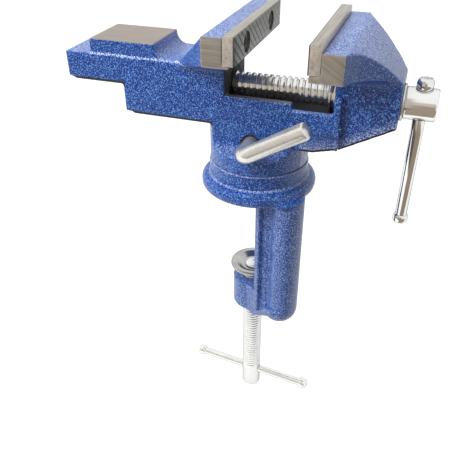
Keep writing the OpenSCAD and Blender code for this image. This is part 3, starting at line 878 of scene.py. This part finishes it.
grooves = [column_groove(-1, FRONT_MEET, "front_groove"), column_groove(1, BACK_MEET, "back_groove")]
rings = [lathe([(z * MM, r * MM) for z, r in outline], name, ring=True)
         for outline, name in ((RIM, "flange_rim"), (CROWN, "ring_crown"))]
cast("clamp_frame", clamp_paint, CLAMP_ROUNDS, table_face, added=rings, cut=grooves)


# Jaw plates
PLATE_EDGE = 0.5 * MM
GROOVE_STEP = 5 * MM
GROOVE_DEPTH = 0.3 * MM
GROOVE_HALF = 0.26 * MM
GROOVE_SLOPE = math.radians(40)
GROOVE_REACH = 30 * MM
GROOVE_OVER = 0.4 * MM
HEAD_R = 4.6 * MM
HEAD_DEPTH = 3.8 * MM
SHANK_R = 2.8 * MM


def groove(face, front, y, z):
    """A long V-shaped cutter across a plate's front face."""
    bm = bmesh.new()
    wide = GROOVE_HALF * (1 + GROOVE_OVER / GROOVE_DEPTH)
    section = ((GROOVE_OVER, -wide), (GROOVE_OVER, wide), (-GROOVE_DEPTH, 0))
    along = Vector((0, math.cos(GROOVE_SLOPE), -math.sin(GROOVE_SLOPE)))
    across = Vector((0, math.sin(GROOVE_SLOPE), math.cos(GROOVE_SLOPE)))
    outlines = []
    for side in (-1, 1):
        base = Vector((face, y, z)) + along * side * GROOVE_REACH
        outlines.append([bm.verts.new(base + AHEAD * front * out + across * off) for out, off in section])
    extruded(bm, *outlines)
    return mesh_of(bm, "groove")


def jaw_plate(node, screws, front):
    """A jaw plate with rounded edges, diagonal grooves on its front and stepped screw holes."""
    low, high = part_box(node)
    face = high[0] if front > 0 else low[0]
    through = span(node).x + MM
    count = math.ceil((high[1] - low[1]) / GROOVE_STEP) + 2
    cutters = [groove(face, front, i * GROOVE_STEP, (low[2] + high[2]) / 2) for i in range(-count, count + 1)]
    hole = [(-MM, 0), (-MM, HEAD_R), (HEAD_DEPTH, HEAD_R), (HEAD_DEPTH, SHANK_R), (through, SHANK_R),
            (through, 0)]
    screw_low, screw_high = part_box(screws)
    for y in (screw_low[1] + HEAD_R, screw_high[1] - HEAD_R):
        cutters.append(lathe(hole, "hole", (face, y, middle(screws).z), (-front, 0, 0), FINE))
    plate = combined(rounded_box(low, high, PLATE_EDGE, "plate"), cutters, "DIFFERENCE")
    return put(plate, node, plate_steel(node + "_steel", face, high[2]), "ground")


jaw_plate("fixed_jaw_plate", "fixed_jaw_screws", 1)
jaw_plate("moving_jaw_plate", "moving_jaw_screws", -1)


# Lead screw
SCREW_R = 6 * MM
SCREW_ROOT = 4.9 * MM
SCREW_PITCH = 3 * MM
SCREW_CLEAR = 0.05 * MM
SHANK_IN = 2 * MM
SHANK_START_R = 3 * MM
HEAD_EDGE = 1.0 * MM
BAR_HOLE_R = 3.15 * MM
CUP_R = 4.2 * MM
COLLAR_LIP = 1.0 * MM
COLLAR_GROOVE = 1.6 * MM
COLLAR_EDGE = 0.25 * MM
axis_y, axis_z = middle("lead_screw").yz
screw_line = (0, axis_y, axis_z)


def ball(radius, name, place, steps=24):
    """A ball turned about Z."""
    arc = [math.pi * i / steps for i in range(steps + 1)]
    return lathe([(-radius * math.cos(a), radius * math.sin(a)) for a in arc], name, place, UP, FINE)


def lead_screw():
    """A threaded rod with a round head, bored for its bar and cupped where the knob comes to rest."""
    tip, head_end = ends("lead_screw", 0)
    head_r = span("lead_screw").z / 2
    head_start = ends("thrust_washer", 0)[1]
    thread_end = ends("thrust_collar", 0)[0]
    bar_x = middle("handle_bar").x
    knob_up = ends("handle_upper_knob", 2)[1] - span("handle_upper_knob").y / 2 - axis_z
    threaded = thread(tip, thread_end, SCREW_R, SCREW_ROOT, SCREW_PITCH, "rod", screw_line, AHEAD)
    head = [(head_start, SCREW_R), (head_start, head_r), (head_end, head_r), (head_end, 0)]
    shank = [(thread_end - SHANK_IN, 0), (thread_end - SHANK_IN, SHANK_START_R), (thread_end + MM, SCREW_R)]
    shank += soften(head, HEAD_EDGE)
    turned = combined(threaded, [lathe(shank, "shank", screw_line, AHEAD)], "UNION")
    hole = rod(-2 * head_r, 2 * head_r, BAR_HOLE_R)
    cutters = [lathe(hole, "hole", (bar_x, axis_y, axis_z), UP, FINE)]
    for side in (-1, 1):
        cutters.append(ball(CUP_R, "cup", (bar_x, axis_y, axis_z + side * knob_up)))
    return put(combined(turned, cutters, "DIFFERENCE"), "lead_screw", screw_chrome, "turned")


def thrust_collar():
    """A ring with a groove round its middle, where the pin goes through."""
    low, high = ends("thrust_collar", 0)
    radius = span("thrust_collar").z / 2
    bore = SCREW_R + SCREW_CLEAR
    floor = radius - COLLAR_GROOVE
    outline = [(low, bore), (low, radius), (low + COLLAR_LIP, radius), (low + COLLAR_LIP, floor),
               (high - COLLAR_LIP, floor), (high - COLLAR_LIP, radius), (high, radius), (high, bore)]
    mesh = lathe(soften(outline, COLLAR_EDGE, 2), "collar", screw_line, AHEAD, ring=True)
    return put(mesh, "thrust_collar", screw_chrome, "turned")


lead_screw()
thrust_collar()


# Bars and knobs
BAR_R = 3 * MM
CLAMP_BAR_R = 2.5 * MM
BAR_EDGE = 0.3 * MM
SPIGOT_R = 2 * MM
CLAMP_SPIGOT_R = 1.5 * MM
# Ring round the bar's end, as millimetres past the ball's edge and outside the spigot
KNOB_RING = ((0.05, 0.4), (-0.35, 0.1), (-0.1, -0.2))
clamp_way = Vector(joint_of["clamp_bar_slide"]["axis"])


def knob_centre(node, along):
    """Middle of a knob's ball, whose inner side is open for the bar."""
    centre = middle(node)
    axis = max(range(3), key=lambda k: abs(along[k]))
    radius = span(node).y / 2
    low, high = ends(node, axis)
    centre[axis] = high - radius if along[axis] > 0 else low + radius
    return centre


def knob(node, material, along, length, full, spigot_r):
    """A ball squared a little by full, with a ring round the end of its bar."""
    radius = span(node).y / 2
    steps = 26
    outline = []
    for i in range(steps + 1):
        a = math.pi * i / steps
        share = math.copysign(abs(math.cos(a)) ** full, math.cos(a))
        outline.append((-length / 2 * share, radius * abs(math.sin(a)) ** full))
    outer = spigot_r + KNOB_RING[0][1] * MM
    outline = [p for p in outline if p[0] < 0 or p[1] > outer]
    edge = outline[-1][0]
    outline += [(edge + past * MM, spigot_r + out * MM) for past, out in KNOB_RING]
    outline.append((outline[-1][0], 0))
    return put(lathe(outline, "knob", knob_centre(node, along), along), node, material, "turned")


def cross_bar(node, material, along, radius, first_knob, last_knob):
    """A plain bar between the middles of its two knobs."""
    half = (knob_centre(last_knob, along) - knob_centre(first_knob, -along)).length / 2
    outline = soften(rod(-half, half, radius), BAR_EDGE, 2)
    return put(lathe(outline, "bar", middle(node), along, FINE), node, material, "turned")


knob("handle_upper_knob", chrome, UP, 7.7 * MM, 0.9, SPIGOT_R)
knob("handle_lower_knob", chrome, -UP, 6.0 * MM, 0.7, SPIGOT_R)
knob("clamp_left_knob", bright_zinc, -clamp_way, 6.4 * MM, 0.7, CLAMP_SPIGOT_R)
knob("clamp_right_knob", bright_zinc, clamp_way, 6.4 * MM, 0.7, CLAMP_SPIGOT_R)
cross_bar("handle_bar", chrome, UP, BAR_R, "handle_lower_knob", "handle_upper_knob")
cross_bar("clamp_bar", bright_zinc, clamp_way, CLAMP_BAR_R, "clamp_left_knob", "clamp_right_knob")


# Lock lever
LOCK_R = 4.25 * MM
LOCK_BEND = 5 * MM
LOCK_Y = -30.5 * MM
LOCK_L = 37 * MM
LOCK_RISE = math.radians(31)
LOCK_TIP = -7.8 * MM
LOCK_CONE = 3.4 * MM
LOCK_POINT_R = 0.7 * MM
LOCK_DOME = ((-4 * MM, LOCK_R), (-2 * MM, LOCK_R), (0, 0))
LOCK_DOME_EDGE = 1.4 * MM


def lock_lever():
    """A bent rod swept from its point, round the bend, to its domed end."""
    across = Vector((math.cos(LOCK_RISE), 0, math.sin(LOCK_RISE)))
    back = Vector((0, -1, 0))
    start = Vector((0, 0, lock_height))
    point = start - back * LOCK_TIP
    path = [(point, back, 0.0), (point, back, LOCK_POINT_R),
            (start - back * (LOCK_TIP - LOCK_CONE), back, LOCK_R)]
    corner = start - back * (LOCK_Y + LOCK_BEND) + across * LOCK_BEND
    steps = 14
    for i in range(steps + 1):
        a = math.pi / 2 * i / steps
        way = back * math.cos(a) + across * math.sin(a)
        path.append((corner - across * LOCK_BEND * math.cos(a) + back * LOCK_BEND * math.sin(a), way, LOCK_R))
    tip = start - back * LOCK_Y + across * LOCK_L
    dome = soften(LOCK_DOME, LOCK_DOME_EDGE, 6)
    path += [(tip + across * along, across, radius) for along, radius in dome]
    bm = bmesh.new()
    normal = back.cross(across)
    turns = [2 * math.pi * k / FINE for k in range(FINE)]
    rounds = []
    for place, way, radius in path:
        side = way.cross(normal)
        spokes = [normal * math.cos(t) + side * math.sin(t) for t in turns] if radius else [normal]
        rounds.append([bm.verts.new(place + spoke * radius) for spoke in spokes])
    skin(bm, zip(rounds, rounds[1:]), FINE)
    return put(mesh_of(bm, "lever"), "lock_lever", nickel, "bent")


lock_lever()


# Clamp screw and pad
CLAMP_R = 6 * MM
CLAMP_ROOT = 5.3 * MM
CLAMP_PITCH = 2 * MM
CLAMP_PLAIN = 19.5 * MM
PLAIN_SETBACK = 0.6 * MM
CLAMP_HOLE_R = 2.65 * MM
CLAMP_EDGE = 1.6 * MM
CLAMP_CORE_R = 3 * MM
NECK_R = 3.5 * MM
NECK_IN = 2 * MM
PAD_GAP = 0.3 * MM
# Outline of the riveted end, as millimetres under its top and radius
RIVET = ((1.4, 5), (0.5, 4.6), (0, 2.2), (0.5, 0.9), (0.5, 0))
RIVET_EDGE = 0.5 * MM
PAD_HUB = 7 * MM
PAD_RIM = 2 * MM
PAD_SLOPE = 3 * MM
PAD_EDGE = 0.9 * MM
clamp_line = (*middle("clamp_pad").xy, 0)
pad_low, pad_top = ends("clamp_pad", 2)


def clamp_screw():
    """A threaded rod with a plain lower end, bored for its bar, and a neck riveted over the pad."""
    low, rivet_top = ends("clamp_screw", 2)
    plain_end = low + CLAMP_PLAIN
    shoulder = pad_low - PAD_GAP
    threaded = thread(plain_end, shoulder, CLAMP_R, CLAMP_ROOT, CLAMP_PITCH, "rod", clamp_line)
    low_end = [(low, 0), (low, CLAMP_R), (plain_end - PLAIN_SETBACK, CLAMP_R),
               (plain_end + NECK_IN, CLAMP_CORE_R), (plain_end + NECK_IN, 0)]
    neck = [(shoulder - NECK_IN, 0), (shoulder - NECK_IN, NECK_R), (rivet_top - RIVET[0][0] * MM, NECK_R)]
    rivet = soften(neck + [(rivet_top - under * MM, radius * MM) for under, radius in RIVET], RIVET_EDGE)
    added = [lathe(soften(low_end, CLAMP_EDGE), "end", clamp_line), lathe(rivet, "rivet", clamp_line)]
    turned = combined(threaded, added, "UNION")
    hole = lathe(rod(-3 * CLAMP_R, 3 * CLAMP_R, CLAMP_HOLE_R), "hole", middle("clamp_bar"), clamp_way, FINE)
    return put(combined(turned, [hole], "DIFFERENCE"), "clamp_screw", bright_zinc, "turned")


def clamp_pad():
    """A pressed dish with a rolled rim and a flat hub round the rivet."""
    radius = span("clamp_pad").x / 2
    hole = NECK_R + PAD_GAP
    floor = pad_low + (pad_top - pad_low) / 2
    outline = [(pad_low, hole), (pad_low, PAD_HUB), (pad_top - PAD_RIM, radius), (pad_top, radius),
               (pad_top, radius - PAD_SLOPE), (floor, PAD_HUB), (floor, hole)]
    mesh = lathe(soften(outline, PAD_EDGE, 4), "pad", clamp_line, ring=True)
    return put(mesh, "clamp_pad", pad_zinc, "pressed")


clamp_screw()
clamp_pad()


# Small turned pieces keep their solids, with broken edges
WELD = 0.005 * MM
BEVEL_FROM = math.radians(50)


def dress(node, material, edge=0.2 * MM):
    """A CAD node with a finish and narrow bevels."""
    piece = nodes[node]
    piece.data.materials.clear()
    piece.data.materials.append(material)
    smooth(piece.data, CREASE)
    weld = piece.modifiers.new("Weld", "WELD")
    weld.merge_threshold = WELD
    bevel = piece.modifiers.new("Bevel", "BEVEL")
    bevel.width = edge
    bevel.segments = 2
    bevel.angle_limit = BEVEL_FROM
    return piece


dress("fixed_jaw_screws", gun_steel)
dress("moving_jaw_screws", gun_steel)
dress("nut_set_screw", black_oxide)
# The lead nut is black steel, made black as painted shade: round the screw at the neck's front only shade
# shows
dress("lead_nut", black_oxide)
dress("thrust_washer", zinc)
dress("collar_pin", zinc, 0.1 * MM)


# Floor and light
WORLD_LIGHT = 0.28
WHITE = 1.0
FLOOR_HALF = 4.0
FLOOR_GAP = 0.5 * MM
FLOOR_GREY = (0.4, 0.4, 0.4, 1)
FLOOR_ROUGH = 0.9
FLOOR_WHITE = 0.8
ROOM_TAN = (0.58, 0.52, 0.45)
TABLE_BROWN = (0.12, 0.105, 0.09)
TABLE_TAN = (0.34, 0.27, 0.20)
# The tent's opening in plan, from left to right, and its heights
OPENING = ((-1.0, -0.55), (0.03, -0.69), (0.42, -0.75), (0.7, -0.78))
TABLE_Z = -0.155
FOOT_TOP = 0.15
RIGHT_TOP = 0.42
LEFT_TOP = 0.8
# How near the table's cards come to the vise
TABLE_LEFT_Y = -0.28
TABLE_RIGHT_Y = -0.07


def shown_light(tree, plain, shown):
    """A strength of shown for camera, glossy and transmission rays, and of plain for the others."""
    path = tree.nodes.new("ShaderNodeLightPath")
    either = path.outputs["Is Camera Ray"]
    for ray in ("Is Glossy Ray", "Is Transmission Ray"):
        more = tree.nodes.new("ShaderNodeMath")
        more.operation = "MAXIMUM"
        tree.links.new(either, more.inputs[0])
        tree.links.new(path.outputs[ray], more.inputs[1])
        either = more.outputs["Value"]
    strength = tree.nodes.new("ShaderNodeMapRange")
    tree.links.new(either, strength.inputs["Value"])
    strength.inputs["To Min"].default_value = plain
    strength.inputs["To Max"].default_value = shown
    return strength.outputs["Result"]


def make_world():
    """Plain light from all round, which is white where it is seen."""
    world = bpy.data.worlds.new("studio")
    bpy.context.scene.world = world
    world.use_nodes = True
    background = world.node_tree.nodes["Background"]
    background.inputs["Color"].default_value = (1, 1, 1, 1)
    world.node_tree.links.new(shown_light(world.node_tree, WORLD_LIGHT, WHITE), background.inputs["Strength"])


def sheet(name, corners, colour, glow):
    """A flat face with a material of its own, and that material's shader."""
    bm = bmesh.new()
    bm.faces.new([bm.verts.new(corner) for corner in corners])
    mesh = mesh_of(bm, name)
    material = bpy.data.materials.new(name)
    material.use_nodes = True
    shader = material.node_tree.nodes["Principled BSDF"]
    shader.inputs["Base Color"].default_value = colour
    shader.inputs["Emission Color"].default_value = glow
    mesh.materials.append(material)
    return linked(name, mesh), shader


def make_floor():
    """A pale floor that adds its own white for the rays that see it, and keeps the object's shadow."""
    z = cad_box[0][2] - FLOOR_GAP
    corners = [(x * FLOOR_HALF, y * FLOOR_HALF, z) for x, y in ((-1, -1), (1, -1), (1, 1), (-1, 1))]
    floor, shader = sheet("floor", corners, FLOOR_GREY, (1, 1, 1, 1))
    tree = shader.id_data
    shader.inputs["Roughness"].default_value = FLOOR_ROUGH
    tree.links.new(shown_light(tree, 0.0, FLOOR_WHITE), shader.inputs["Emission Strength"])


def make_card(name, corners, colour):
    """A card that only glossy rays see, as the opening of a light tent or the table before it."""
    card, shader = sheet(name, corners, (0, 0, 0, 1), (*colour, 1))
    shader.inputs["Specular IOR Level"].default_value = 0
    shader.inputs["Emission Strength"].default_value = 1
    card.visible_camera = False
    card.visible_diffuse = False
    card.visible_shadow = False
    card.visible_transmission = False


def opening_card(name, a, b, low, high, colour):
    """An upright card between two points of the opening."""
    make_card(name, ((*a, low), (*b, low), (*b, high), (*a, high)), colour)


def table_card(name, a, b, near_y, colour):
    """A level card from two points of the opening towards the vise."""
    make_card(name, ((*a, TABLE_Z), (*b, TABLE_Z), (b[0], near_y, TABLE_Z), (a[0], near_y, TABLE_Z)), colour)


def make_lamp(name, place, target, size, power):
    """A soft lamp that reflections don't show."""
    light = bpy.data.lights.new(name, "AREA")
    light.shape = "RECTANGLE"
    light.size, light.size_y = size
    light.energy = power
    lamp = linked(name, light)
    lamp.location = place
    lamp.rotation_euler = (Vector(target) - Vector(place)).to_track_quat("-Z", "Y").to_euler()
    lamp.visible_camera = False
    lamp.visible_glossy = False


make_world()
make_floor()
left, centre, right, far_right = OPENING
opening_card("opening_left", left, centre, TABLE_Z, LEFT_TOP, ROOM_TAN)
opening_card("opening_right", centre, right, FOOT_TOP, RIGHT_TOP, ROOM_TAN)
opening_card("opening_foot", centre, right, TABLE_Z, FOOT_TOP, TABLE_TAN)
table_card("table_left", left, centre, TABLE_LEFT_Y, TABLE_BROWN)
table_card("table_right", centre, far_right, TABLE_RIGHT_Y, TABLE_TAN)
make_lamp("top_light", (-0.1, 0.05, 0.9), (0, 0, 0), (0.9, 0.9), 3)
make_lamp("back_light", (-0.1, 0.9, 0.65), (0, 0, 0.05), (1.4, 0.6), 4.5)
make_lamp("front_light", (-0.5, -0.5, 0.6), (0, 0, 0.03), (0.5, 0.5), 8)


# Camera, with its focal length in pixels of the picture's width
FOCUS_PIXELS = 569.7
PICTURE = 470
SENSOR = 36
CLIP = (0.01, 50)
PITCH = math.radians(34.28)
YAW = math.radians(-18.53)
CAMERA_PLACE = Vector((74.3, -261.9, 150.3)) * MM


def make_camera():
    """The photograph's view."""
    camera = bpy.data.cameras.new("camera")
    camera.sensor_width = SENSOR
    camera.lens = SENSOR * FOCUS_PIXELS / PICTURE
    camera.clip_start, camera.clip_end = CLIP
    forward = Vector((math.sin(YAW) * math.cos(PITCH), math.cos(YAW) * math.cos(PITCH), -math.sin(PITCH)))
    sideways = Vector((math.cos(YAW), -math.sin(YAW), 0))
    upwards = sideways.cross(forward)
    made = linked("camera", camera)
    made.matrix_world = Matrix((sideways, upwards, -forward)).transposed().to_4x4()
    made.matrix_world.translation = CAMERA_PLACE
    bpy.context.scene.camera = made


make_camera()
bpy.context.scene.view_settings.view_transform = "Standard"
